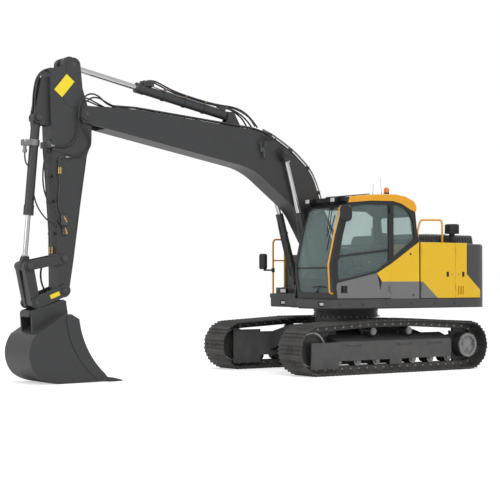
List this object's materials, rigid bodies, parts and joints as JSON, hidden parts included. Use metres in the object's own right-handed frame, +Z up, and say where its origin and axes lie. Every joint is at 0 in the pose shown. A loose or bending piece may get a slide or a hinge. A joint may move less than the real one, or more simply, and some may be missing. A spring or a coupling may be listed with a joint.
{
  "type": "crawler excavator",
  "caption": "Tracked excavator with a slewing upper, left-hand cab, one-piece boom, arm, quick coupler and digging bucket, parked with its bucket on the ground.",
  "frame": {"origin": "on the ground, in the middle of the machine's parked length and width", "axes": "+X forward along the tracks and the boom, +Y to the operator's left, +Z up"},
  "size_m": [8.6783, 2.9172, 4.9325],
  "materials": {
    "body_yellow": "satin orange-yellow paint",
    "frame_charcoal": "satin charcoal paint",
    "trim_grey": "satin dark grey paint",
    "door_grey": "satin warm grey paint",
    "track_steel": "worn forged steel",
    "rod_chrome": "polished hard chrome",
    "clear_glass": "clear tinted safety glass",
    "seat_cloth": "woven black cloth",
    "black_plastic": "grained black plastic",
    "amber_plastic": "clear amber plastic",
    "machined_steel": "turned steel"
  },
  "bodies": {
    "undercarriage": {"car_body": "frame_charcoal", "slew_ring": "machined_steel", "track_frame_left": "frame_charcoal", "track_frame_right": "frame_charcoal", "track_left": "track_steel", "track_right": "track_steel", "idler_left": "track_steel", "idler_right": "track_steel", "final_drive_left": "track_steel", "final_drive_right": "track_steel", "rollers_left": "track_steel", "rollers_right": "track_steel"},
    "upper": {"slew_deck": "trim_grey", "counterweight": "trim_grey", "house_frame": "trim_grey", "engine_block": "trim_grey", "right_side_panel": "body_yellow", "hydraulic_tank": "trim_grey", "fuel_tank": "trim_grey", "tool_box": "trim_grey", "cab_shell": "trim_grey", "cab_glass": "clear_glass", "cab_roof": "body_yellow", "operator_seat": "seat_cloth", "hood_rail": "body_yellow", "step_rails": "body_yellow", "cab_rail": "body_yellow", "mirrors": "black_plastic", "work_lamps": "black_plastic", "beacon": "amber_plastic", "air_pre_cleaner": "black_plastic", "exhaust_stack": "machined_steel"},
    "cab_door": {"cab_door": "door_grey", "door_glass": "clear_glass"},
    "service_door_front": {"service_door_front": "body_yellow"},
    "service_door_rear": {"service_door_rear": "body_yellow"},
    "pump_door": {"pump_door": "body_yellow"},
    "engine_hood": {"engine_hood": "trim_grey"},
    "boom": {"boom": "frame_charcoal", "boom_pipes": "frame_charcoal"},
    "boom_cylinder_barrels": {"boom_cylinder_barrels": "frame_charcoal"},
    "boom_cylinder_rods": {"boom_cylinder_rods": "rod_chrome"},
    "arm": {"arm": "frame_charcoal"},
    "arm_cylinder_barrel": {"arm_cylinder_barrel": "frame_charcoal"},
    "arm_cylinder_rod": {"arm_cylinder_rod": "rod_chrome"},
    "bucket": {"quick_coupler": "frame_charcoal", "bucket": "frame_charcoal"},
    "guide_links": {"guide_links": "frame_charcoal"},
    "push_link": {"push_link": "frame_charcoal"},
    "bucket_cylinder_barrel": {"bucket_cylinder_barrel": "frame_charcoal"},
    "bucket_cylinder_rod": {"bucket_cylinder_rod": "rod_chrome"}
  },
  "joints": [
    {"name": "slew", "type": "hinge", "parent": "undercarriage", "child": "upper", "pos_m": [-1.875, 0, 1.062], "axis": [0, 0, 1], "continuous": true},
    {"name": "cab_door_hinge", "type": "hinge", "parent": "upper", "child": "cab_door", "pos_m": [-1.839, 1.265, 1.9], "axis": [0, 0, 1], "range_deg": [0, 160]},
    {"name": "service_door_front_hinge", "type": "hinge", "parent": "upper", "child": "service_door_front", "pos_m": [-2.525, 1.255, 1.7], "axis": [0, 0, 1], "range_deg": [-100, 0]},
    {"name": "service_door_rear_hinge", "type": "hinge", "parent": "upper", "child": "service_door_rear", "pos_m": [-3.323, 1.255, 1.7], "axis": [0, 0, 1], "range_deg": [-100, 0]},
    {"name": "pump_door_hinge", "type": "hinge", "parent": "upper", "child": "pump_door", "pos_m": [-3.323, -1.255, 1.7], "axis": [0, 0, 1], "range_deg": [0, 100]},
    {"name": "engine_hood_hinge", "type": "hinge", "parent": "upper", "child": "engine_hood", "pos_m": [-2.675, 0, 2.193], "axis": [0, 1, 0], "range_deg": [0, 55]},
    {"name": "boom_foot", "type": "hinge", "parent": "upper", "child": "boom", "pos_m": [-1.515, -0.1, 1.75], "axis": [0, -1, 0], "range_deg": [-70, 33]},
    {"name": "arm_pivot", "type": "hinge", "parent": "boom", "child": "arm", "pos_m": [3.255, -0.1, 4.063], "axis": [0, 1, 0], "range_deg": [-70, 45]},
    {"name": "bucket_pivot", "type": "hinge", "parent": "arm", "child": "bucket", "pos_m": [3.608, -0.1, 1.382], "axis": [0, 1, 0], "range_deg": [-70, 75]},
    {"name": "boom_cylinder_pivot", "type": "hinge", "parent": "upper", "child": "boom_cylinder_barrels", "pos_m": [-1.085, -0.1, 1.42], "axis": [0, -1, 0], "range_deg": [-70.25, 33.64]},
    {"name": "boom_cylinder_stroke", "type": "slide", "parent": "boom_cylinder_barrels", "child": "boom_cylinder_rods", "axis": [0.2834, 0, 0.959], "range_m": [-0.5949, 0.2857]},
    {"name": "arm_cylinder_pivot", "type": "hinge", "parent": "boom", "child": "arm_cylinder_barrel", "pos_m": [0.514, -0.1, 4.237], "axis": [0, 1, 0], "range_deg": [-5.32, 3.78]},
    {"name": "arm_cylinder_stroke", "type": "slide", "parent": "arm_cylinder_barrel", "child": "arm_cylinder_rod", "axis": [0.9819, 0, 0.1893], "range_m": [-0.8227, 0.5324]},
    {"name": "guide_link_pivot", "type": "hinge", "parent": "arm", "child": "guide_links", "pos_m": [3.633, -0.1, 1.862], "axis": [0, 1, 0], "range_deg": [-58.18, 62.26]},
    {"name": "push_link_pivot", "type": "hinge", "parent": "bucket", "child": "push_link", "pos_m": [4.074, -0.1, 1.199], "axis": [0, 1, 0], "range_deg": [-59.85, 55.92]},
    {"name": "bucket_cylinder_pivot", "type": "hinge", "parent": "arm", "child": "bucket_cylinder_barrel", "pos_m": [4.006, -0.1, 3.975], "axis": [0, 1, 0], "range_deg": [-3.63, 3.82]},
    {"name": "bucket_cylinder_stroke", "type": "slide", "parent": "bucket_cylinder_barrel", "child": "bucket_cylinder_rod", "axis": [0.0823, 0, -0.9966], "range_m": [-0.5059, 0.5414]}
  ],
  "couplings": [
    {"joint": "boom_cylinder_pivot", "follows": "boom_foot", "ratio": 0.98922},
    {"joint": "boom_cylinder_stroke", "follows": "boom_foot", "m_per_rad": 0.47875},
    {"joint": "arm_cylinder_pivot", "follows": "arm_pivot", "ratio": 0.06177},
    {"joint": "arm_cylinder_stroke", "follows": "arm_pivot", "m_per_rad": 0.66518},
    {"joint": "guide_link_pivot", "follows": "bucket_pivot", "ratio": 0.81684},
    {"joint": "push_link_pivot", "follows": "bucket_pivot", "ratio": -0.78464},
    {"joint": "bucket_cylinder_pivot", "follows": "bucket_pivot", "ratio": 0.03761},
    {"joint": "bucket_cylinder_stroke", "follows": "bucket_pivot", "m_per_rad": 0.40593}
  ]
}
